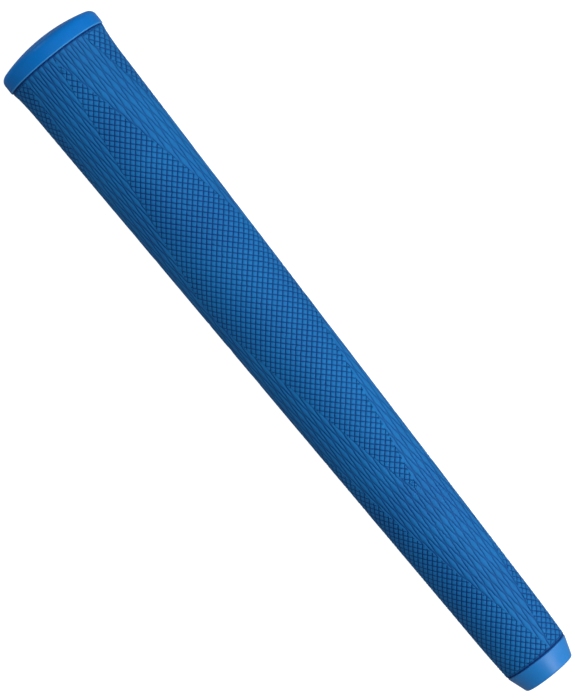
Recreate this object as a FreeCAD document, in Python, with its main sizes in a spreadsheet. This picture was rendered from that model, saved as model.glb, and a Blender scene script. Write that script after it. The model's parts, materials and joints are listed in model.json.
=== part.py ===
"""Oversize golf grip: moulded rubber sleeve on a foam core, with a butt cap and a tip collar.

Millimetres. The shaft bore lies along X. The origin is the centre of the bore's mouth at the
tip, +X points to the butt end and +Z is up. Every piece is a solid of revolution about X, drawn
as a half section on its own XY plane, where x runs along the bore and y is the radius.
"""

import FreeCAD, Part

import math
import os
import Sketcher

NODE_FOLDER = "parts"
SHEET = "Sizes"

# name, millimetres, what it is
DRIVING_SIZES = [
    ("grip_length", 266.7, "tip mouth to the top of the cap, 10.5 inches"),
    ("shaft_radius", 7.62, "bore for a shaft with a 0.600 inch butt"),
    ("sleeve_wall", 1.9, "rubber over the foam"),
    ("tip_foam", 2.32, "foam between the bore and the sleeve at the tip"),
    ("butt_foam", 8.21, "foam between the bore and the sleeve at the butt"),
    ("nose_length", 18.1, "rounded stretch of the sleeve behind the collar"),
    ("nose_rise", 0.71, "growth in radius over that stretch"),
    ("flare_length", 8.6, "stretch that opens out towards the cap"),
    ("flare_rise", 0.55, "growth in radius over that stretch"),
    ("lip_length", 2.8, "steeper lip against the cap"),
    ("lip_rise", 0.62, "growth in radius over the lip"),
    ("collar_length", 7.2, "tip collar, mouth to back face"),
    ("collar_lip", 3.0, "collar ahead of the foam core"),
    ("mouth_wall", 1.76, "collar's wall at its mouth"),
    ("core_nose_wall", 1.38, "foam that the collar slips over"),
    ("mouth_round", 0.9, "rounding of the collar's outer edge"),
    ("cap_length", 8.4, "butt cap, joint to crown"),
    ("cap_overhang", 0.16, "cap's step above the sleeve's lip"),
    ("cap_sag", 2.4, "fall of the crown from its middle to its rim"),
    ("crown_radius", 75.0, "curvature of the crown"),
    ("cap_round", 4.2, "rounding between the crown and the band"),
    ("vent_radius", 2.4, "air hole through the cap"),
    ("vent_round", 0.5, "rounding of the air hole's outer edge"),
    ("plug_length", 9.0, "cap's tubular plug inside the core"),
    ("plug_wall", 4.4, "wall of that plug"),
    ("bead_height", 0.6, "retaining bead round the plug"),
    ("bead_width", 2.4, "bead, measured along the plug"),
    ("glue_film", 0.05, "cement round the plug and under the collar"),
    ("joint_round", 0.4, "rounded edges beside each joint line"),
]


def size(name):
    return f"{SHEET}.{name}"


# Positions along the bore, as expressions.
MOUTH_X = "0"
LIP_STEP_X = size("collar_lip")
COLLAR_X = size("collar_length")
NOSE_X = f"({COLLAR_X} + {size('nose_length')})"
CROWN_X = size("grip_length")
JOINT_X = f"({CROWN_X} - {size('cap_length')})"
RIM_X = f"({CROWN_X} - {size('cap_sag')})"
LIP_X = f"({JOINT_X} - {size('lip_length')})"
FLARE_X = f"({LIP_X} - {size('flare_length')})"
PLUG_X = f"({JOINT_X} - {size('plug_length')})"
SOCKET_X = f"({PLUG_X} - {size('glue_film')})"
BEAD_X = f"({JOINT_X} - {size('plug_length')} / 2)"

# Radii, built outwards from the shaft.
BORE_R = size("shaft_radius")
VENT_R = size("vent_radius")
MOUTH_R = f"({BORE_R} + {size('mouth_wall')})"
CORE_NOSE_R = f"({BORE_R} + {size('core_nose_wall')})"
COLLAR_SOCKET_R = f"({CORE_NOSE_R} + {size('glue_film')})"
TIP_FOAM_R = f"({BORE_R} + {size('tip_foam')})"
BUTT_FOAM_R = f"({BORE_R} + {size('butt_foam')})"
NOSE_R = f"({TIP_FOAM_R} + {size('sleeve_wall')})"
SLIM_R = f"({NOSE_R} + {size('nose_rise')})"
SWELL_R = f"({BUTT_FOAM_R} + {size('sleeve_wall')})"
LIP_ROOT_R = f"({SWELL_R} + {size('flare_rise')})"
LIP_R = f"({LIP_ROOT_R} + {size('lip_rise')})"
CAP_R = f"({LIP_R} + {size('cap_overhang')})"
PLUG_R = f"({BORE_R} + {size('plug_wall')})"


def fill_sheet(doc):
    """Put every driving size in the sheet, one row each."""
    sheet = doc.addObject("Spreadsheet::Sheet", SHEET)
    for row, (name, value, meaning) in enumerate(DRIVING_SIZES, start=1):
        sheet.set(f"A{row}", name)
        sheet.set(f"B{row}", str(value))
        sheet.set(f"C{row}", meaning)
        sheet.setAlias(f"B{row}", name)
    doc.recompute()


def new_body(doc, label):
    body = doc.addObject("PartDesign::Body", label)
    body.Label = label
    return body


def value_of(sketch, expression):
    return float(sketch.evalExpression(expression))


def crown_arc(start, end, radius):
    """Arc of the given radius from start to end that bulges towards the butt."""
    chord = end - start
    inward = FreeCAD.Vector(-chord.y, chord.x, 0).normalize()
    centre = (start + end) / 2 + inward * math.sqrt(radius**2 - chord.Length**2 / 4)
    return Part.Arc(start, centre - inward * radius, end)


def pin_corner(sketch, edge, x_size, r_size):
    """Hold the start of an edge at its distance along the bore and its radius."""
    if x_size == MOUTH_X:
        sketch.addConstraint(Sketcher.Constraint("PointOnObject", edge, 1, -2))
    else:
        along = Sketcher.Constraint("DistanceX", -1, 1, edge, 1, value_of(sketch, x_size))
        sketch.setExpression(f"Constraints[{sketch.addConstraint(along)}]", x_size)
    outwards = Sketcher.Constraint("DistanceY", -1, 1, edge, 1, value_of(sketch, r_size))
    sketch.setExpression(f"Constraints[{sketch.addConstraint(outwards)}]", r_size)


def draw_section(body, corners, crown=None):
    """Closed half section through the corners, counterclockwise.

    The edge that starts at corner number crown is the cap's crown; the others are straight.
    """
    plane = next(f for f in body.Origin.OriginFeatures if f.Role == "XY_Plane")
    sketch = body.newObject("Sketcher::SketchObject", body.Label + "_section")
    sketch.AttachmentSupport = (plane, "")
    sketch.MapMode = "FlatFace"
    points = [
        FreeCAD.Vector(value_of(sketch, x_size), value_of(sketch, r_size), 0)
        for x_size, r_size in corners
    ]
    count = len(points)
    for edge, start in enumerate(points):
        end = points[(edge + 1) % count]
        if edge == crown:
            radius = value_of(sketch, size("crown_radius"))
            sketch.addGeometry(crown_arc(start, end, radius))
        else:
            sketch.addGeometry(Part.LineSegment(start, end))
    for edge, (x_size, r_size) in enumerate(corners):
        sketch.addConstraint(Sketcher.Constraint("Coincident", edge, 1, (edge - 1) % count, 2))
        pin_corner(sketch, edge, x_size, r_size)
    if crown is not None:
        row = sketch.addConstraint(Sketcher.Constraint("Radius", crown, radius))
        sketch.setExpression(f"Constraints[{row}]", size("crown_radius"))
    return sketch


def turn(body, sketch):
    """Revolve a section about the bore axis."""
    solid = body.newObject("PartDesign::Revolution", body.Label + "_turned")
    solid.Profile = sketch
    solid.ReferenceAxis = (sketch, ["H_Axis"])
    solid.Angle = 360
    sketch.Visibility = False
    body.Document.recompute()
    return solid


def rim_edge(solid, x_size, r_size):
    """Name of the circular edge at a distance along the bore and a radius."""
    x = float(solid.evalExpression(x_size))
    r = float(solid.evalExpression(r_size))
    for number, edge in enumerate(solid.Shape.Edges, start=1):
        if not isinstance(edge.Curve, Part.Circle):
            continue
        if abs(edge.Curve.Center.x - x) < 1e-4 and abs(edge.Curve.Radius - r) < 1e-4:
            return f"Edge{number}"
    raise ValueError(f"{solid.Label} has no circular edge at x {x}, radius {r}")


def round_rim(body, base, name, rim, radius_size):
    """Round one circular edge of the piece and return the new feature."""
    before = base.Shape.Volume
    fillet = body.newObject("PartDesign::Fillet", f"{body.Label}_{name}")
    fillet.Base = (base, [rim_edge(base, *rim)])
    fillet.setExpression("Radius", size(radius_size))
    body.Document.recompute()
    if fillet.Shape.Volume >= before:
        raise ValueError(f"{fillet.Label} took nothing off the edge")
    return fillet


def make_butt_cap(doc):
    """Solid rubber cap with an air hole, on a tubular plug with a retaining bead."""
    body = new_body(doc, "butt_cap")
    half_bead = f"{size('bead_width')} / 2"
    half_crest = f"{size('bead_width')} / 4"
    bead_r = f"({PLUG_R} + {size('bead_height')})"
    corners = [
        (PLUG_X, BORE_R),
        (JOINT_X, BORE_R),
        (JOINT_X, VENT_R),
        (CROWN_X, VENT_R),
        (RIM_X, CAP_R),
        (JOINT_X, CAP_R),
        (JOINT_X, PLUG_R),
        (f"{BEAD_X} + {half_bead}", PLUG_R),
        (f"{BEAD_X} + {half_crest}", bead_r),
        (f"{BEAD_X} - {half_crest}", bead_r),
        (f"{BEAD_X} - {half_bead}", PLUG_R),
        (PLUG_X, PLUG_R),
    ]
    crown = corners.index((CROWN_X, VENT_R))
    solid = turn(body, draw_section(body, corners, crown))
    solid = round_rim(body, solid, "rim_round", (RIM_X, CAP_R), "cap_round")
    solid = round_rim(body, solid, "vent_round", (CROWN_X, VENT_R), "vent_round")
    round_rim(body, solid, "joint_round", (JOINT_X, CAP_R), "joint_round")
    return body


def make_grip_sleeve(doc):
    """Tapered rubber sleeve that flares to a lip against the cap."""
    body = new_body(doc, "grip_sleeve")
    corners = [
        (COLLAR_X, TIP_FOAM_R),
        (JOINT_X, BUTT_FOAM_R),
        (JOINT_X, LIP_R),
        (LIP_X, LIP_ROOT_R),
        (FLARE_X, SWELL_R),
        (NOSE_X, SLIM_R),
        (COLLAR_X, NOSE_R),
    ]
    solid = turn(body, draw_section(body, corners))
    solid = round_rim(body, solid, "lip_round", (JOINT_X, LIP_R), "joint_round")
    round_rim(body, solid, "nose_round", (COLLAR_X, NOSE_R), "joint_round")
    return body


def make_foam_core(doc):
    """Foam tube with a parallel bore, a nose for the collar and a socket for the cap's plug."""
    body = new_body(doc, "foam_core")
    socket_r = f"({PLUG_R} + {size('glue_film')})"
    groove_r = f"({socket_r} + {size('bead_height')})"
    half_groove = f"({size('bead_width')} / 2 + {size('glue_film')})"
    half_floor = f"({size('bead_width')} / 4 + {size('glue_film')})"
    corners = [
        (LIP_STEP_X, BORE_R),
        (SOCKET_X, BORE_R),
        (SOCKET_X, socket_r),
        (f"{BEAD_X} - {half_groove}", socket_r),
        (f"{BEAD_X} - {half_floor}", groove_r),
        (f"{BEAD_X} + {half_floor}", groove_r),
        (f"{BEAD_X} + {half_groove}", socket_r),
        (JOINT_X, socket_r),
        (JOINT_X, BUTT_FOAM_R),
        (COLLAR_X, TIP_FOAM_R),
        (COLLAR_X, CORE_NOSE_R),
        (LIP_STEP_X, CORE_NOSE_R),
    ]
    turn(body, draw_section(body, corners))
    return body


def make_tip_collar(doc):
    """Smooth tapered ring that closes the tip and slips over the core's nose."""
    body = new_body(doc, "tip_collar")
    corners = [
        (MOUTH_X, BORE_R),
        (LIP_STEP_X, BORE_R),
        (LIP_STEP_X, COLLAR_SOCKET_R),
        (COLLAR_X, COLLAR_SOCKET_R),
        (COLLAR_X, NOSE_R),
        (MOUTH_X, MOUTH_R),
    ]
    solid = turn(body, draw_section(body, corners))
    solid = round_rim(body, solid, "mouth_round", (MOUTH_X, MOUTH_R), "mouth_round")
    round_rim(body, solid, "joint_round", (COLLAR_X, NOSE_R), "joint_round")
    return body


def check_document(doc, bodies):
    """Stop if anything failed to compute or a piece isn't one valid solid."""
    for item in doc.Objects:
        if "Invalid" in item.State or "Error" in item.State:
            raise RuntimeError(f"{item.Label} failed: {item.State}")
    for body in bodies:
        shape = body.Shape
        if shape.isNull() or not shape.isValid() or len(shape.Solids) != 1:
            raise RuntimeError(f"{body.Label} is not one valid solid")
        print(f"{body.Label}: {shape.Volume / 1000:.2f} cm3")


def write_nodes(bodies):
    os.makedirs(NODE_FOLDER, exist_ok=True)
    for body in bodies:
        body.Shape.exportStep(f"{NODE_FOLDER}/{body.Label}.step")


def main():
    doc = FreeCAD.newDocument("golf_grip")
    fill_sheet(doc)
    makers = (make_butt_cap, make_grip_sleeve, make_foam_core, make_tip_collar)
    bodies = [make(doc) for make in makers]
    doc.recompute()
    check_document(doc, bodies)
    write_nodes(bodies)


main()
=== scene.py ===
import bmesh
import bpy
import json
import math
import numpy as np
from mathutils import Matrix, Vector


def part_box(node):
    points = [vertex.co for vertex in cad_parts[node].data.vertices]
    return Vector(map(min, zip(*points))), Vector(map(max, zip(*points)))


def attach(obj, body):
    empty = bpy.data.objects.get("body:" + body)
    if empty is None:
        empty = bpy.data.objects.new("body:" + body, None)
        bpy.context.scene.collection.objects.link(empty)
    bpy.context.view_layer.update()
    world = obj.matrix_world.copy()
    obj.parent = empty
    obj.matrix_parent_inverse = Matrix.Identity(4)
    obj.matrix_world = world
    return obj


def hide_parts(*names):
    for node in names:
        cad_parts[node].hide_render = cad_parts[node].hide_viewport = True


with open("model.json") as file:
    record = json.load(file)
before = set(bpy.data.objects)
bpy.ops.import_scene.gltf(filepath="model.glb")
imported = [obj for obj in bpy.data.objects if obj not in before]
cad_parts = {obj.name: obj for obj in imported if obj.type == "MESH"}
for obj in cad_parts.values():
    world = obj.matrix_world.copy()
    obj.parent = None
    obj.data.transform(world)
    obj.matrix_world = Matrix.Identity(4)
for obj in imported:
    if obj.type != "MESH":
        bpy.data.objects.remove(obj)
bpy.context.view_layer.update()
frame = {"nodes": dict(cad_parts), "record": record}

# ---------------------------------------------------------------------------------------------
# The foam core is the light underlisting that takes up the room between the shaft and the
# rubber. It is cut from expanded foam tube, so its cut cells show down the tip's mouth.
# ---------------------------------------------------------------------------------------------

MM = 0.001
MOUNTS = {mount["name"]: mount for mount in frame["record"]["mounts"]}
BORE_R = MOUNTS["shaft_bore"]["dims"]["r_mm"] * MM
FOAM_GREY = (0.035, 0.037, 0.04, 1.0)
FOAM_CELL_GREY = (0.012, 0.013, 0.014, 1.0)
FOAM_CELLS_PER_METRE = 2600.0
FOAM_CELL_DEPTH = 0.1 * MM
FOAM_ROUGHNESS = 0.9
FOAM_SPECULAR = 0.25


def new_material(name, roughness, specular):
    """A material with a Principled shader; returns it with its node tree and shader."""
    material = bpy.data.materials.new(name)
    material.use_nodes = True
    tree = material.node_tree
    shader = tree.nodes["Principled BSDF"]
    shader.inputs["Roughness"].default_value = roughness
    shader.inputs["Specular IOR Level"].default_value = specular
    return material, tree, shader


def add_bump(tree, shader, height, depth):
    """Feed a height that changes over the surface to the shader's normal."""
    bump = tree.nodes.new("ShaderNodeBump")
    bump.inputs["Distance"].default_value = depth
    tree.links.new(height, bump.inputs["Height"])
    tree.links.new(bump.outputs["Normal"], shader.inputs["Normal"])


def foam_material():
    """Dark foam, paler on the walls between its cells."""
    material, tree, shader = new_material("closed_cell_foam", FOAM_ROUGHNESS, FOAM_SPECULAR)
    coordinates = tree.nodes.new("ShaderNodeTexCoord")
    cells = tree.nodes.new("ShaderNodeTexVoronoi")
    cells.inputs["Scale"].default_value = FOAM_CELLS_PER_METRE
    tree.links.new(coordinates.outputs["Object"], cells.inputs["Vector"])
    colour = tree.nodes.new("ShaderNodeMix")
    colour.data_type = "RGBA"
    colour.inputs["A"].default_value = FOAM_CELL_GREY
    colour.inputs["B"].default_value = FOAM_GREY
    tree.links.new(cells.outputs["Distance"], colour.inputs["Factor"])
    tree.links.new(colour.outputs["Result"], shader.inputs["Base Color"])
    add_bump(tree, shader, cells.outputs["Distance"], FOAM_CELL_DEPTH)
    return material


foam_core = frame["nodes"]["foam_core"].data
foam_core.materials.clear()
foam_core.materials.append(foam_material())

# ---------------------------------------------------------------------------------------------
# The butt cap is moulded first, in a polished cavity, from a firm blue rubber pigmented right
# through. It has a low crown with an air hole, a rolled rim and a short band, and a tubular
# plug with a bead that locks it in the core.
# ---------------------------------------------------------------------------------------------

CAP_LOW, CAP_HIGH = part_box("butt_cap")
JOINT_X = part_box("grip_sleeve")[1].x
CAP_R = CAP_HIGH.z
CAP_TOP_X = CAP_HIGH.x
CROWN_R = 60.0 * MM
RIM_ROUND = 2.4 * MM
EDGE_ROUND = 0.4 * MM
VENT_R = MOUNTS["vent_hole"]["dims"]["r_mm"] * MM
VENT_ROUND = 0.5 * MM
PLUG_WALL = 4.4 * MM
PLUG_R = BORE_R + PLUG_WALL
BEAD_HEIGHT = 0.6 * MM
BEAD_WIDTH = 2.4 * MM
CAP_BLUE = (0.004, 0.18, 0.6, 1.0)
CAP_DEEP_BLUE = (0.002, 0.11, 0.42, 1.0)
# A highlight painted on the cap's edge at the joint, in paler blue.
CAP_HIGHLIGHT_BLUE = (0.045, 0.29, 0.68, 1.0)
CAP_ROUGHNESS = (0.3, 0.38)
CAP_SPECULAR = 0.06
CAP_GRAIN = 0.004 * MM
CAP_SIDES = 160
HIGHLIGHT_WIDTH = 0.9 * EDGE_ROUND
HIGHLIGHT_DEPTH = 1.1 * EDGE_ROUND
FLOW_PER_METRE = 45.0
FLOW_RANGE = (0.35, 0.65)
FLOW_SHARE = 0.16
FLECKS_PER_METRE = 2600.0
FLECK_RANGE = (0.55, 0.75)
FLECK_SHARE = 0.14
SHEEN_RANGE = (0.3, 0.7)
GRAIN_PER_METRE = 5200.0


def noise(tree, scale, detail, roughness=0.5):
    """Noise on the piece's own object coordinates, scale in features per metre."""
    coordinates = tree.nodes.new("ShaderNodeTexCoord")
    texture = tree.nodes.new("ShaderNodeTexNoise")
    texture.inputs["Scale"].default_value = scale
    texture.inputs["Detail"].default_value = detail
    texture.inputs["Roughness"].default_value = roughness
    tree.links.new(coordinates.outputs["Object"], texture.inputs["Vector"])
    return texture


def stretched(tree, value, low, high, top):
    """Stretch a value between low and high to run from nothing to top."""
    stretch = tree.nodes.new("ShaderNodeMapRange")
    stretch.inputs["From Min"].default_value = low
    stretch.inputs["From Max"].default_value = high
    stretch.inputs["To Max"].default_value = top
    tree.links.new(value, stretch.inputs["Value"])
    return stretch


def sum_of(tree, first, second):
    """Sum of two values, kept between nothing and one."""
    added = tree.nodes.new("ShaderNodeMath")
    added.operation = "ADD"
    added.use_clamp = True
    tree.links.new(first, added.inputs[0])
    tree.links.new(second, added.inputs[1])
    return added.outputs["Value"]


def rubber_skin_group():
    """Moulded rubber: its colour drifts with the flow and its flecks, which dull its sheen, and
    painted shade darkens it in the grooves.
    """
    group = bpy.data.node_groups.new("moulded_rubber_skin", "ShaderNodeTree")
    sockets = group.interface
    for name in ("Pigment", "Deep Pigment And Shade"):
        sockets.new_socket(name, in_out="INPUT", socket_type="NodeSocketColor")
    for name in ("Painted Shade", "Low Roughness", "High Roughness"):
        sockets.new_socket(name, in_out="INPUT", socket_type="NodeSocketFloat")
    sockets.new_socket("Colour", in_out="OUTPUT", socket_type="NodeSocketColor")
    sockets.new_socket("Roughness", in_out="OUTPUT", socket_type="NodeSocketFloat")
    sockets.new_socket("Height", in_out="OUTPUT", socket_type="NodeSocketFloat")
    given = group.nodes.new("NodeGroupInput")
    result = group.nodes.new("NodeGroupOutput")

    flow = noise(group, FLOW_PER_METRE, detail=3.0)
    flecks = noise(group, FLECKS_PER_METRE, detail=4.0, roughness=0.6)
    grain = noise(group, GRAIN_PER_METRE, detail=2.0)
    drift = stretched(group, flow.outputs["Fac"], *FLOW_RANGE, FLOW_SHARE)
    dots = stretched(group, flecks.outputs["Fac"], *FLECK_RANGE, FLECK_SHARE)
    random_tone = sum_of(group, drift.outputs["Result"], dots.outputs["Result"])
    # Painted shade is added to the random tone here, darkening the colour towards the deep one at
    # the bottoms of the grooves.
    tone_and_shade = sum_of(group, random_tone, given.outputs["Painted Shade"])

    colour = group.nodes.new("ShaderNodeMix")
    colour.data_type = "RGBA"
    group.links.new(tone_and_shade, colour.inputs["Factor"])
    group.links.new(given.outputs["Pigment"], colour.inputs["A"])
    group.links.new(given.outputs["Deep Pigment And Shade"], colour.inputs["B"])

    sheen = stretched(group, flecks.outputs["Fac"], *SHEEN_RANGE, 1.0)
    group.links.new(given.outputs["Low Roughness"], sheen.inputs["To Min"])
    group.links.new(given.outputs["High Roughness"], sheen.inputs["To Max"])

    group.links.new(colour.outputs["Result"], result.inputs["Colour"])
    group.links.new(sheen.outputs["Result"], result.inputs["Roughness"])
    group.links.new(grain.outputs["Fac"], result.inputs["Height"])
    return group


RUBBER_SKIN = rubber_skin_group()


def rubber_material(name, pigment, deep, roughness, specular, grain_depth, painted_groove_shade=None):
    """Moulded rubber; roughness runs from low to high, and the named attribute is 1 at the bottom
    of a groove, where the colour is painted darker as shade."""
    material, tree, shader = new_material(name, roughness[0], specular)
    skin = tree.nodes.new("ShaderNodeGroup")
    skin.node_tree = RUBBER_SKIN
    skin.inputs["Pigment"].default_value = pigment
    skin.inputs["Deep Pigment And Shade"].default_value = deep
    skin.inputs["Low Roughness"].default_value = roughness[0]
    skin.inputs["High Roughness"].default_value = roughness[1]
    if painted_groove_shade:
        # The attribute paints shade: a darker colour at the bottoms of the grooves.
        depth = tree.nodes.new("ShaderNodeAttribute")
        depth.attribute_name = painted_groove_shade
        tree.links.new(depth.outputs["Fac"], skin.inputs["Painted Shade"])
    tree.links.new(skin.outputs["Colour"], shader.inputs["Base Color"])
    tree.links.new(skin.outputs["Roughness"], shader.inputs["Roughness"])
    add_bump(tree, shader, skin.outputs["Height"], grain_depth)
    return material


def lathe(outline, sides):
    """Closed ring turned about the bore from a closed outline of (along, radius) in metres."""
    bm = bmesh.new()
    corners = [bm.verts.new((x, 0.0, r)) for x, r in outline]
    edges = [bm.edges.new((a, b)) for a, b in zip(corners, corners[1:] + corners[:1])]
    bmesh.ops.spin(
        bm, geom=corners + edges, cent=(0, 0, 0), axis=(1, 0, 0), dvec=(0, 0, 0),
        angle=2 * math.pi, steps=sides, use_merge=True, use_duplicate=False,
    )
    bmesh.ops.recalc_face_normals(bm, faces=bm.faces)
    return bm


def arc(centre, radius, start, end, steps):
    """Points on an arc; angles in degrees from the butt direction towards the outside."""
    turns = [math.radians(start + (end - start) * i / steps) for i in range(steps + 1)]
    return [
        (centre[0] + radius * math.cos(turn), centre[1] + radius * math.sin(turn))
        for turn in turns
    ]


def finish_piece(bm, name, material, node):
    """Turn a bmesh in metres into a smooth piece that rides on the grip and stands for a node."""
    mesh = bpy.data.meshes.new(name)
    bm.to_mesh(mesh)
    bm.free()
    mesh.shade_smooth()
    mesh.materials.append(material)
    piece = bpy.data.objects.new(name, mesh)
    bpy.context.scene.collection.objects.link(piece)
    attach(piece, "root")
    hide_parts(node)


def cap_outline():
    """Half section of the cap, from the plug's inner end round over the crown."""
    bead_x = (CAP_LOW.x + JOINT_X) / 2
    crown_x = CAP_TOP_X - CROWN_R
    rim_centre_r = CAP_R - RIM_ROUND
    rim_turn = math.asin(rim_centre_r / (CROWN_R - RIM_ROUND))
    rim_centre_x = crown_x + (CROWN_R - RIM_ROUND) * math.cos(rim_turn)
    vent_turn = math.asin((VENT_R + VENT_ROUND) / CROWN_R)
    points = [(CAP_LOW.x, BORE_R), (JOINT_X, BORE_R), (JOINT_X, VENT_R)]
    vent_centre = (CAP_TOP_X - VENT_ROUND, VENT_R + VENT_ROUND)
    points += arc(vent_centre, VENT_ROUND, -90, 0, steps=5)[:-1]
    crown_start = math.degrees(vent_turn)
    crown_end = math.degrees(rim_turn)
    points += arc((crown_x, 0), CROWN_R, crown_start, crown_end, steps=14)
    points += arc((rim_centre_x, rim_centre_r), RIM_ROUND, crown_end, 90, steps=14)[1:]
    points += arc((JOINT_X + EDGE_ROUND, CAP_R - EDGE_ROUND), EDGE_ROUND, 90, 180, steps=5)
    points += [(JOINT_X, PLUG_R), (bead_x + BEAD_WIDTH / 2, PLUG_R)]
    points += [(bead_x + BEAD_WIDTH / 4, PLUG_R + BEAD_HEIGHT)]
    points += [(bead_x - BEAD_WIDTH / 4, PLUG_R + BEAD_HEIGHT)]
    points += [(bead_x - BEAD_WIDTH / 2, PLUG_R), (CAP_LOW.x, PLUG_R)]
    return points


def mark_edge_highlight(bm):
    """Mark the cap's edge at the joint, where a highlight is painted on in paler blue."""
    painted_edge_highlight = bm.verts.layers.float.new("painted_edge_highlight")
    for vertex in bm.verts:
        radius = math.hypot(vertex.co.y, vertex.co.z)
        at_joint = abs(vertex.co.x - JOINT_X) < HIGHLIGHT_WIDTH
        vertex[painted_edge_highlight] = float(at_joint and radius > CAP_R - HIGHLIGHT_DEPTH)


def paint_edge_highlight(material):
    """Paint the highlight on the marked edge in paler blue."""
    tree = material.node_tree
    pigment = tree.nodes["Principled BSDF"].inputs["Base Color"]
    mark = tree.nodes.new("ShaderNodeAttribute")
    mark.attribute_name = "painted_edge_highlight"
    colour = tree.nodes.new("ShaderNodeMix")
    colour.data_type = "RGBA"
    colour.inputs["B"].default_value = CAP_HIGHLIGHT_BLUE
    tree.links.new(mark.outputs["Fac"], colour.inputs["Factor"])
    tree.links.new(pigment.links[0].from_socket, colour.inputs["A"])
    tree.links.new(colour.outputs["Result"], pigment)


cap_rubber = rubber_material(
    "polished_cap_rubber", CAP_BLUE, CAP_DEEP_BLUE, CAP_ROUGHNESS, CAP_SPECULAR, CAP_GRAIN
)
paint_edge_highlight(cap_rubber)
cap = lathe(cap_outline(), CAP_SIDES)
mark_edge_highlight(cap)
finish_piece(cap, "cap_shell", cap_rubber, "butt_cap")

# ---------------------------------------------------------------------------------------------
# The tip collar is a smooth tapered ring, moulded on its own in a lighter, shinier blue. It
# slips over the core's nose, is cemented to the end of the sleeve, and is rolled at the mouth.
# ---------------------------------------------------------------------------------------------

COLLAR_BACK_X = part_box("tip_collar")[1].x
COLLAR_LIP_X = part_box("foam_core")[0].x
MOUTH_WALL = 1.76 * MM
SOCKET_WALL = 1.43 * MM
COLLAR_BASE_WALL = 4.22 * MM
MOUTH_R = BORE_R + MOUTH_WALL
SOCKET_R = BORE_R + SOCKET_WALL
COLLAR_BASE_R = BORE_R + COLLAR_BASE_WALL
MOUTH_ROUND = 0.9 * MM
EDGE_INSET = 1.32 * EDGE_ROUND
COLLAR_BLUE = (0.012, 0.2, 0.58, 1.0)
COLLAR_DEEP_BLUE = (0.008, 0.14, 0.45, 1.0)
COLLAR_ROUGHNESS = (0.36, 0.44)
COLLAR_SPECULAR = 0.36
COLLAR_GRAIN = 0.005 * MM
COLLAR_SIDES = 128


def collar_outline():
    """Half section of the collar, from the mouth's inner edge round to the outer edge."""
    taper = math.atan2(COLLAR_BASE_R - MOUTH_R, COLLAR_BACK_X)
    slant = 90 + math.degrees(taper)
    mouth_centre = (MOUTH_ROUND, MOUTH_R - MOUTH_ROUND * (1 - math.sin(taper)))
    back_centre = (COLLAR_BACK_X - EDGE_ROUND, COLLAR_BASE_R - EDGE_INSET)
    points = [(0.0, BORE_R), (COLLAR_LIP_X, BORE_R), (COLLAR_LIP_X, SOCKET_R)]
    points += [(COLLAR_BACK_X, SOCKET_R)]
    points += arc(back_centre, EDGE_ROUND, 0, slant, steps=6)
    points += arc(mouth_centre, MOUTH_ROUND, slant, 180, steps=8)
    return points


collar_rubber = rubber_material(
    "satin_collar_rubber", COLLAR_BLUE, COLLAR_DEEP_BLUE,
    COLLAR_ROUGHNESS, COLLAR_SPECULAR, COLLAR_GRAIN,
)
collar = lathe(collar_outline(), COLLAR_SIDES)
finish_piece(collar, "collar_ring", collar_rubber, "tip_collar")

# ---------------------------------------------------------------------------------------------
# The sleeve's wall is the thin blue rubber tube under the moulded pattern, cemented to the
# foam. It swells from the nose at the collar to the lip at the cap, and its outside lies just
# below the grooves. From here to the studio, sizes are in millimetres.
# ---------------------------------------------------------------------------------------------

TIP_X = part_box("grip_sleeve")[0].x / MM
BUTT_X = JOINT_X / MM
LIP_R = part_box("grip_sleeve")[1].z / MM
NOSE_R = COLLAR_BASE_R / MM
NOSE_LENGTH = 18.1
NOSE_RISE = 0.71
NOSE_END_X = TIP_X + NOSE_LENGTH
FLARE_LENGTH = 11.4
FLARE_RISE = 0.35
FLARE_X = BUTT_X - FLARE_LENGTH
LIP_LENGTH = 2.8
LIP_X = BUTT_X - LIP_LENGTH
SLIM_R = NOSE_R + NOSE_RISE
SWELL_THICKNESS = 10.11
SWELL_R = BORE_R / MM + SWELL_THICKNESS
TAPER = (SWELL_R - SLIM_R) / (FLARE_X - NOSE_END_X)
LIP_RISE = LIP_R - SWELL_R - TAPER * (BUTT_X - FLARE_X)
LIP_RISE -= FLARE_RISE * ((BUTT_X - FLARE_X) / (LIP_X - FLARE_X)) ** 2
PATTERN_DEPTH = 0.42
WALL_BELOW_GROOVES = 0.1
SLEEVE_WALL = 1.9
WALL_STATIONS = 91
WALL_SIDES = 128
# The groove colour is painted shade, as dark as the bottoms of the grooves look; the sleeve's
# wall takes it too.
GROOVE_SHADE_BLUE = (0.001, 0.03, 0.175, 1.0)
GROOVE_ROUGHNESS = (0.6, 0.75)
GROOVE_SPECULAR = 0.2
GROOVE_GRAIN = 0.006 * MM


def crest_radius(x):
    """Radius of the pattern's crests at a distance from the tip's mouth."""
    straight = SLIM_R + TAPER * (x - NOSE_END_X)
    nose_drop = NOSE_RISE - TAPER * (NOSE_END_X - TIP_X)
    nose = np.clip((NOSE_END_X - x) / (NOSE_END_X - TIP_X), 0.0, None)
    flare = np.clip((x - FLARE_X) / (LIP_X - FLARE_X), 0.0, None)
    lip = np.clip((x - LIP_X) / (BUTT_X - LIP_X), 0.0, 1.0)
    rise = FLARE_RISE * flare**2 + LIP_RISE * lip**2 * (3 - 2 * lip)
    return straight - nose_drop * nose**2 + rise


def wall_outline():
    """Half section of the sleeve's wall, given in metres for the lathe."""
    below = PATTERN_DEPTH + WALL_BELOW_GROOVES
    along = np.linspace(BUTT_X, TIP_X, WALL_STATIONS)
    points = [(TIP_X, NOSE_R - SLEEVE_WALL), (BUTT_X, SWELL_R - SLEEVE_WALL)]
    points += [(float(x), float(crest_radius(x) - below)) for x in along]
    return [(x * MM, r * MM) for x, r in points]


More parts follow.
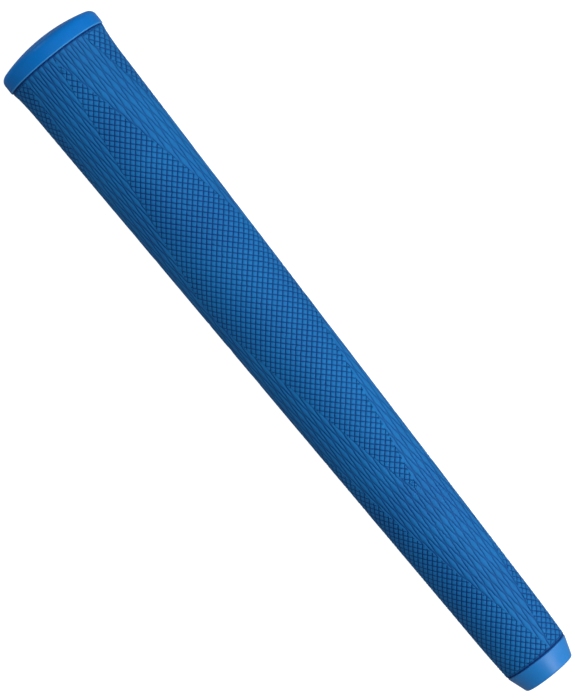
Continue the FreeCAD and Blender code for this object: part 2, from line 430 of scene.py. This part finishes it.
# The wall only shows at the bottoms of the grooves, so it is painted in the grooves' shade
# colour.
groove_shade_rubber = rubber_material(
    "groove_shade_rubber", GROOVE_SHADE_BLUE, GROOVE_SHADE_BLUE, GROOVE_ROUGHNESS, GROOVE_SPECULAR, GROOVE_GRAIN
)
wall = lathe(wall_outline(), WALL_SIDES)
finish_piece(wall, "sleeve_wall", groove_shade_rubber, "grip_sleeve")

# ---------------------------------------------------------------------------------------------
# The checkering is moulded in one with the sleeve, in the mould's two halves. It is laid out
# flat, as for the engraver: x along the grip, y round it, z the height over the grooves. The
# panels are cut to their outlines and wrapped round the taper with a slow twist.
# ---------------------------------------------------------------------------------------------

# The checks' pitch along the grip and round it, and where the corner of one stands.
CHECK_ALONG = 2.485
CHECK_AROUND = 2.302
CHECK_START = (132.45, -0.43)
# Each ring inside a check: the share of the last ring that is left, and its height.
CHECK_RINGS = ((0.79, 0.27), (0.8, 0.37), (0.5, 0.42))
# The same slopes where a check is cut: distances from the groove, and the heights there.
CHECK_PROFILE = ((0.0, 0.18, 0.31, 0.58), (0.0, 0.27, 0.37, 0.42))
RIM_CUTS = 3
# How far the layout reaches round the grip, and how far its rows lean with the twist.
SHEET_LOW = -25.5
SHEET_HIGH = 22.0
SHEET_SLANT = 0.0416
# The twist, in degrees from the butt, and how the layout is drawn out near the butt.
TWIST_START = 1.72
TWIST_PER_MM = 0.1019
TWIST_CURVE = 1.05e-4
TWIST_FROM_X = 256.0
STRETCH_FROM_X = 150.0
STRETCH = 2.73e-6
# Which way the layout's face looks, in degrees, and how much it is squeezed at the sides.
FACE_TURN = -8.8
SIDE_SQUEEZE = 0.256
# Flash along the parting line: its place in degrees, its width, and its uneven kinks.
FLASH_TURN = 6.0
FLASH_WIDTH = 0.5
FLASH_SHIFT = 0.17
FLASH_WAVES_ALONG = (2.3, 2.0, 0.37)
FLASH_WAVES_AROUND = (3.1, 1.7, 0.53)
# The grooves at the sleeve's two joints, and the share of its height that the pattern keeps.
JOINT_GROOVE = 0.95
JOINT_HEIGHT_SHARE = 0.3
JOINT_CLEARANCE = 0.05
# The foot of a panel's edge, and the heights between which the grooves are painted darker as
# shade.
WALL_FOOT = -0.05
SHADE_TOP = 0.391
SHADE_DEPTH = 0.34
SLEEVE_BLUE = (0.0085, 0.172, 0.48, 1.0)
SLEEVE_ROUGHNESS = (0.5, 0.62)
SLEEVE_SPECULAR = 0.12
SLEEVE_GRAIN = 0.01 * MM
# Outlines of the panels, along and across: the long lens on the face, and the edges of the
# panels above and below it, towards the butt and towards the tip.
LENS_TIP_POINT = (74, -1.5)
LENS_BUTT_POINT = (253.3, -1.7)
LENS_UPPER = [LENS_TIP_POINT, (90, 1.8), (130, 8.9), (154, 14.5), (169, 14.6), (199, 8.9)]
LENS_UPPER += [LENS_BUTT_POINT]
LENS_LOWER = [LENS_TIP_POINT, (90, -5.4), (130, -13.1), (158, -17.9), (169, -17.8), (200, -11.1)]
LENS_LOWER += [LENS_BUTT_POINT]
BUTT_UPPER = [(204, 18.7), (228, 15.4), (237.5, 13.6), (260, 9.0)]
BUTT_LOWER = [(205, -25.0), (214, -20.8), (229.5, -18.2), (238.5, -16.5), (260, -13.5)]
TIP_UPPER = [(5, -1.0), (20, 1.4), (30, 3.7), (50, 7.3), (75, 12.1)]
TIP_LOWER = [(5, -0.6), (30, -5.7), (70.5, -14.1), (110, -21.3), (119, -24.5)]
PANEL_EDGES = [LENS_UPPER, LENS_LOWER, BUTT_UPPER, BUTT_LOWER, TIP_UPPER, TIP_LOWER]
# How far a cut runs past its outline's ends, and how near a corner it snaps to it.
OVERCUT = 1.5
SNAP_ACROSS = 1e-4
SNAP_OUTLINE = 0.03
HALF_STATIONS = 11

# The cavity is cut straight down into each half of the mould, so the layout spreads out
# towards the sides: distance across it grows as it would round a flattened section.
TURNS = np.radians(np.linspace(-110, 110, 881))
FROM_FACE = TURNS - math.radians(FACE_TURN)
RATE = np.sqrt(np.cos(FROM_FACE) ** 2 + SIDE_SQUEEZE * np.sin(FROM_FACE) ** 2)
REACH = np.concatenate([[0.0], np.cumsum((RATE[1:] + RATE[:-1]) / 2 * np.diff(TURNS))])
GRIP_XS = np.linspace(TIP_X - 5, BUTT_X + 5, 500)


def twist(x):
    """Angle of the layout's middle line, in radians, at a place along the grip."""
    run = TWIST_FROM_X - x
    return np.radians(TWIST_START + TWIST_PER_MM * run + TWIST_CURVE * run**2)


def flat_y(x, turn):
    """Place across the layout of an angle round the grip, in radians."""
    return (np.interp(turn, TURNS, REACH) - np.interp(twist(x), TURNS, REACH)) * crest_radius(x)


def turn_at(x, y):
    """Angle round the grip, in radians, of a place on the layout."""
    return np.interp(np.interp(twist(x), TURNS, REACH) + y / crest_radius(x), REACH, TURNS)


def flat_x(x):
    """Place along the layout's middle line; the pattern is drawn out towards the butt."""
    return x - STRETCH * np.clip(x - STRETCH_FROM_X, 0.0, None) ** 3


def along_at(flat, y):
    """Place along the grip of a place on the layout, whose rows lean with the twist."""
    return np.interp(flat + SHEET_SLANT * y, flat_x(GRIP_XS), GRIP_XS)


def half_edge(side):
    """Outline of one long edge of the mould's half in the layout; side is -1 or 1."""
    xs = np.linspace(TIP_X - 2, BUTT_X + 2, HALF_STATIONS)
    ys = flat_y(xs, math.radians(side * 90))
    return [(float(x), float(y)) for x, y in zip(flat_x(xs) - SHEET_SLANT * ys, ys)]


HALF_LOWER = half_edge(-1)
HALF_UPPER = half_edge(1)


def height_at(outline, x):
    """Place across the layout of an outline, at a place along it."""
    xs, ys = zip(*outline)
    return np.interp(x, xs, ys)


def is_checkered(x, y):
    """Whether a place on the layout lies in one of the checkered panels."""
    if LENS_UPPER[0][0] < x < LENS_UPPER[-1][0]:
        if height_at(LENS_LOWER, x) < y < height_at(LENS_UPPER, x):
            return True
    for upper, lower in ((BUTT_UPPER, BUTT_LOWER), (TIP_UPPER, TIP_LOWER)):
        if upper[0][0] < x < upper[-1][0] and y > height_at(upper, x):
            return True
        if lower[0][0] < x < lower[-1][0] and y < height_at(lower, x):
            return True
    return False


def cut_across(bm, x, drop):
    """Cut the layout round the grip at a place along it; drop -1 or 1 clears beyond the cut."""
    bmesh.ops.bisect_plane(
        bm, geom=bm.verts[:] + bm.edges[:] + bm.faces[:], dist=SNAP_ACROSS,
        plane_co=(float(flat_x(x)), 0, 0), plane_no=(1, SHEET_SLANT, 0),
        clear_inner=drop < 0, clear_outer=drop > 0,
    )


def trim_ends(bm):
    """End the layout at the sleeve's ends, with cuts where the joint grooves slope down."""
    for slope in (0.5, 1.0):
        cut_across(bm, TIP_X + slope * JOINT_GROOVE, 0)
        cut_across(bm, BUTT_X - slope * JOINT_GROOVE, 0)
    cut_across(bm, TIP_X + JOINT_CLEARANCE, -1)
    cut_across(bm, BUTT_X - JOINT_CLEARANCE, 1)


def cut_outline(bm, outline):
    """Cut the layout along an outline, each face by its stretch; the ends are cut past."""
    for start, end in zip(outline, outline[1:]):
        low = start[0] - (OVERCUT if start == outline[0] else 0)
        high = end[0] + (OVERCUT if end == outline[-1] else 0)
        run = Vector((end[0] - start[0], end[1] - start[1], 0)).normalized()
        normal = Vector((-run.y, run.x, 0))
        place = Vector((start[0], start[1], 0))
        crossed = []
        for face in bm.faces:
            if not low <= face.calc_center_median().x < high:
                continue
            sides = [(v.co.xy - place.xy).dot(normal.xy) for v in face.verts]
            if min(sides) < 0 < max(sides):
                crossed.append(face)
        edges = list(dict.fromkeys(e for f in crossed for e in f.edges))
        verts = list(dict.fromkeys(v for f in crossed for v in f.verts))
        bmesh.ops.bisect_plane(
            bm, geom=crossed + edges + verts, dist=SNAP_OUTLINE, plane_co=place, plane_no=normal,
        )


def keep_region(bm, checkered):
    """Cut to the outlines and drop the other pattern's faces and those beyond the half."""
    for outline in PANEL_EDGES + [HALF_LOWER, HALF_UPPER]:
        cut_outline(bm, outline)
    unwanted = []
    for face in bm.faces:
        centre = face.calc_center_median()
        lower = height_at(HALF_LOWER, centre.x)
        upper = height_at(HALF_UPPER, centre.x)
        outside = not lower < centre.y < upper
        if outside or is_checkered(centre.x, centre.y) != checkered:
            unwanted.append(face)
    bmesh.ops.delete(bm, geom=unwanted, context="FACES")


def checkered_sheet():
    """Flat lattice of squares standing on their corners, cut to the panels."""
    bm = bmesh.new()
    count = 2 * math.ceil((BUTT_X - TIP_X) / 2 / CHECK_ALONG - SHEET_LOW / CHECK_AROUND)
    bmesh.ops.create_grid(bm, x_segments=count, y_segments=count, size=count / 2)
    quarter = Matrix.Rotation(math.pi / 4, 3, "Z")
    bmesh.ops.rotate(bm, verts=bm.verts, cent=(0, 0, 0), matrix=quarter)
    diagonal = math.sqrt(2)
    bmesh.ops.scale(bm, verts=bm.verts, vec=(CHECK_ALONG / diagonal, CHECK_AROUND / diagonal, 1))
    bmesh.ops.translate(bm, verts=bm.verts, vec=(*CHECK_START, 0))
    trim_ends(bm)
    keep_region(bm, True)
    return bm


def raise_checks(bm):
    """Ring every check with sloping sides and a rounded shoulder, then lift its top."""
    rim = [e for e in bm.edges if e.is_boundary]
    bmesh.ops.subdivide_edges(bm, edges=rim, cuts=RIM_CUTS)
    tops = bm.faces[:]
    for shrink, rise in CHECK_RINGS:
        bmesh.ops.inset_individual(bm, faces=tops, thickness=0.0)
        for face in tops:
            centre = face.calc_center_median_weighted()
            for vertex in face.verts:
                vertex.co = centre + (vertex.co - centre) * shrink
                vertex.co.z = rise
    pitch = CHECK_ALONG * CHECK_AROUND / math.hypot(CHECK_ALONG, CHECK_AROUND)
    for vertex in bm.verts:
        along = (vertex.co.x - CHECK_START[0]) / CHECK_ALONG
        around = (vertex.co.y - CHECK_START[1]) / CHECK_AROUND
        rows = (along + around, along - around)
        groove = min(abs(row - round(row)) for row in rows) * pitch
        vertex.co.z = max(vertex.co.z, np.interp(groove, *CHECK_PROFILE))


def add_walls(bm):
    """Turn the layout's open edges down into short walls with a crisp corner."""
    rim = [e for e in bm.edges if e.is_boundary]
    for edge in rim:
        edge.smooth = False
    walls = bmesh.ops.extrude_edge_only(bm, edges=rim)
    for part in walls["geom"]:
        if isinstance(part, bmesh.types.BMVert):
            part.co.z = WALL_FOOT


def ragged(x, waves):
    """Uneven wave along the grip: its rate, and the size and rate of its wander."""
    rate, wander, wander_rate = waves
    return np.sin(rate * x + wander * np.sin(wander_rate * x))


def wrap(bm, half_turn):
    """Wrap the layout round the taper, in metres, and mark how deep each point lies, for the
    shade painted into the grooves and the joint grooves.
    """
    flat, y, z = np.array([v.co[:] for v in bm.verts]).T
    x = along_at(flat, y)
    end = np.minimum(x - TIP_X, BUTT_X - x)
    slope = np.clip(end / JOINT_GROOVE, 0.0, 1.0)
    # Painted shade: the colour darkens towards the bottom of each groove, and fully in the joint
    # grooves at the sleeve's two ends.
    depth = np.clip((SHADE_TOP - z) / SHADE_DEPTH, 0.0, 1.0)
    depth = np.maximum(depth, 1.0 - slope**2)
    painted_groove_shade = bm.verts.layers.float.new("painted_groove_shade")
    for vertex, deep in zip(bm.verts, depth):
        vertex[painted_groove_shade] = deep
    # A trace of flash left along the parting line puts a kink in each groove that crosses it.
    flash = np.exp(-(((y - flat_y(x, math.radians(FLASH_TURN))) / FLASH_WIDTH) ** 2))
    x = x + FLASH_SHIFT * flash * slope * ragged(x, FLASH_WAVES_ALONG)
    y = y + FLASH_SHIFT * flash * ragged(x, FLASH_WAVES_AROUND)
    angle = turn_at(x, y) + half_turn
    swell = np.sin(slope * math.pi / 2)
    height = z * (JOINT_HEIGHT_SHARE + (1 - JOINT_HEIGHT_SHARE) * swell)
    radius = crest_radius(x) - PATTERN_DEPTH + height
    places = np.stack([x, -radius * np.sin(angle), radius * np.cos(angle)], axis=1) * MM
    for vertex, place in zip(bm.verts, places):
        vertex.co = place
    bmesh.ops.recalc_face_normals(bm, faces=bm.faces)


# The sleeve's rubber carries painted shade: darker in its grooves and in its joint grooves.
sleeve_rubber = rubber_material(
    "blasted_sleeve_rubber", SLEEVE_BLUE, GROOVE_SHADE_BLUE,
    SLEEVE_ROUGHNESS, SLEEVE_SPECULAR, SLEEVE_GRAIN, "painted_groove_shade",
)
HALVES = (("front", 0.0), ("back", math.pi))

for half, half_turn in HALVES:
    checks = checkered_sheet()
    raise_checks(checks)
    add_walls(checks)
    wrap(checks, half_turn)
    finish_piece(checks, f"checkering_{half}", sleeve_rubber, "grip_sleeve")

# ---------------------------------------------------------------------------------------------
# The grain fills the rest of the sleeve, in the same rubber and the same mould as the
# checkering. Its strands swell and narrow in turn like wood grain, so that short dark strokes
# stand in columns between the swellings.
# ---------------------------------------------------------------------------------------------

STRAND_PITCH = CHECK_AROUND / 2
STRAND_START = 0.5
STRAND_SWAY = 0.3
SWELLING_PITCH = 5 * CHECK_ALONG
SWELLING_X = -0.5
SWELLING_SHARPNESS = 3
COLUMNS_PER_SWELLING = 14
ROWS_PER_STRAND = 4
SPARE_COLUMNS = 3
# A strand's shoulders stand in from its edges; heights run from the strokes to the crowns.
SHOULDER = 0.26
SHOULDER_SHARE = 0.32
STROKE_FLOOR = 0.07
FAINT_FLOOR = 0.2
STRAND_TOP = 0.37
CROWN_RISE = 0.05
NECK_DROP = 0.15


def strand_sheet():
    """Flat sheet of swelling strands, each with two shoulders and a crown."""
    bm = bmesh.new()
    step = SWELLING_PITCH / COLUMNS_PER_SWELLING
    columns = math.ceil((BUTT_X - TIP_X) / step) + 2 * SPARE_COLUMNS
    first = 2 * math.floor(SHEET_LOW / STRAND_PITCH / 2)
    strands = math.ceil((SHEET_HIGH - SHEET_LOW) / STRAND_PITCH) + 2
    rows = ROWS_PER_STRAND * strands
    bmesh.ops.create_grid(bm, x_segments=columns, y_segments=rows, size=0.5)
    grid = np.array([v.co[:] for v in bm.verts])
    column = np.rint((grid[:, 0] + 0.5) * columns)
    row = np.rint((grid[:, 1] + 0.5) * rows)
    x = TIP_X + (column - SPARE_COLUMNS) * step
    strand = np.floor(row / ROWS_PER_STRAND)
    corner = row - ROWS_PER_STRAND * strand
    side = np.where(strand % 2, -1, 1)
    wave = np.cos(2 * math.pi * (x - SWELLING_X) / SWELLING_PITCH)
    swing = wave**SWELLING_SHARPNESS * side
    low = STRAND_START + (first + strand) * STRAND_PITCH - STRAND_SWAY * swing
    width = STRAND_PITCH + 2 * STRAND_SWAY * swing
    shoulder = np.minimum(SHOULDER, SHOULDER_SHARE * width)
    corners = [corner == 0, corner == 1, corner == 2]
    across = np.select(corners, [0, shoulder, width / 2], width - shoulder)
    floor = STROKE_FLOOR + (FAINT_FLOOR - STROKE_FLOOR) * np.abs(swing)
    top = STRAND_TOP - NECK_DROP * np.clip(-swing, 0, 1)
    rise = np.select(corners, [floor, top, top + CROWN_RISE], top)
    for vertex, place in zip(bm.verts, zip(x, low + across, rise)):
        vertex.co = place
    trim_ends(bm)
    keep_region(bm, False)
    return bm


for half, half_turn in HALVES:
    strands = strand_sheet()
    add_walls(strands)
    wrap(strands, half_turn)
    finish_piece(strands, f"grain_{half}", sleeve_rubber, "grip_sleeve")

# ---------------------------------------------------------------------------------------------
# Studio: the grip is held level, with the cap's rim resting on a white table top. Big soft
# lamps stand at one side and over it, and a long lens looks straight down.
# ---------------------------------------------------------------------------------------------

GRIP_MIDDLE = Vector((133.0, 0.0, 0.0)) * MM
VIEW_WIDTH = 188.6 * MM
VIEW_MIDDLE = (3.1 * MM, -5.15 * MM)
VIEW_X = 142.5 * MM
VIEW_ROLL = 231.33
LENS_HEIGHT = 1.15
SENSOR_WIDTH = 36.0
WORLD_LIGHT = 0.17
TABLE_GREY = (0.3, 0.3, 0.3, 1)
TABLE_GLOW = 0.95
TABLE_HALF_WIDTH = 3.0


def look_down_camera():
    """Long lens straight over the grip, rolled so that the grip lies on the diagonal."""
    data = bpy.data.cameras.new("camera")
    data.sensor_fit = "HORIZONTAL"
    data.sensor_width = SENSOR_WIDTH
    data.lens = SENSOR_WIDTH * LENS_HEIGHT / VIEW_WIDTH
    camera = bpy.data.objects.new("camera", data)
    bpy.context.scene.collection.objects.link(camera)
    roll = math.radians(VIEW_ROLL)
    right = Vector((math.cos(roll), math.sin(roll), 0))
    up = Vector((-math.sin(roll), math.cos(roll), 0))
    shift = VIEW_MIDDLE[0] * right + VIEW_MIDDLE[1] * up
    camera.location = Vector((VIEW_X, 0, LENS_HEIGHT)) + shift
    camera.rotation_euler = (0, 0, roll)
    bpy.context.scene.camera = camera


def area_lamp(name, offset, size, power):
    """Square soft lamp, placed from the grip's middle and facing it."""
    data = bpy.data.lights.new(name, "AREA")
    data.shape = "SQUARE"
    data.size = size
    data.energy = power
    lamp = bpy.data.objects.new(name, data)
    lamp.location = GRIP_MIDDLE + Vector(offset)
    lamp.rotation_euler = (-Vector(offset)).to_track_quat("-Z", "Y").to_euler()
    bpy.context.scene.collection.objects.link(lamp)


def white_backdrop():
    """White world, seen in full by the camera but dim as a light."""
    world = bpy.data.worlds.new("studio")
    world.use_nodes = True
    tree = world.node_tree
    backdrop = tree.nodes["Background"]
    backdrop.inputs["Color"].default_value = (1, 1, 1, 1)
    seen = tree.nodes.new("ShaderNodeLightPath")
    strength = tree.nodes.new("ShaderNodeMapRange")
    strength.inputs["To Min"].default_value = WORLD_LIGHT
    strength.inputs["To Max"].default_value = 1.0
    tree.links.new(seen.outputs["Is Camera Ray"], strength.inputs["Value"])
    tree.links.new(strength.outputs["Result"], backdrop.inputs["Strength"])
    bpy.context.scene.world = world


def white_table():
    """Level table top under the cap's rim, lit from within so that it looks white."""
    mesh = bpy.data.meshes.new("table_top")
    bm = bmesh.new()
    bmesh.ops.create_grid(bm, x_segments=1, y_segments=1, size=TABLE_HALF_WIDTH)
    bm.to_mesh(mesh)
    bm.free()
    table = bpy.data.objects.new("table_top", mesh)
    bpy.context.scene.collection.objects.link(table)
    table.location = (GRIP_MIDDLE.x, 0, -CAP_R)
    white, tree, shader = new_material("white_table", 0.8, 0.2)
    shader.inputs["Base Color"].default_value = TABLE_GREY
    shader.inputs["Emission Color"].default_value = (1, 1, 1, 1)
    seen = tree.nodes.new("ShaderNodeLightPath")
    glow = tree.nodes.new("ShaderNodeMath")
    glow.operation = "MULTIPLY"
    glow.inputs[1].default_value = TABLE_GLOW
    tree.links.new(seen.outputs["Is Camera Ray"], glow.inputs[0])
    tree.links.new(glow.outputs["Value"], shader.inputs["Emission Strength"])
    mesh.materials.append(white)


look_down_camera()
white_backdrop()
white_table()
bpy.context.scene.view_settings.view_transform = "Standard"
area_lamp("side_softbox", (-0.3, -1.15, 0.35), 0.9, 6.8)
area_lamp("strip_softbox", (0, -0.75, 0.95), 0.25, 1.3)
area_lamp("top_softbox", (-0.2, -0.2, 1.6), 1.2, 7.4)
area_lamp("butt_softbox", (1.15, 0.15, 0.3), 0.4, 3.6)
area_lamp("tip_softbox", (-0.85, -0.5, 0.7), 0.5, 6.2)
area_lamp("fill_softbox", (0.1, 1.3, 0.45), 1.0, 1.6)
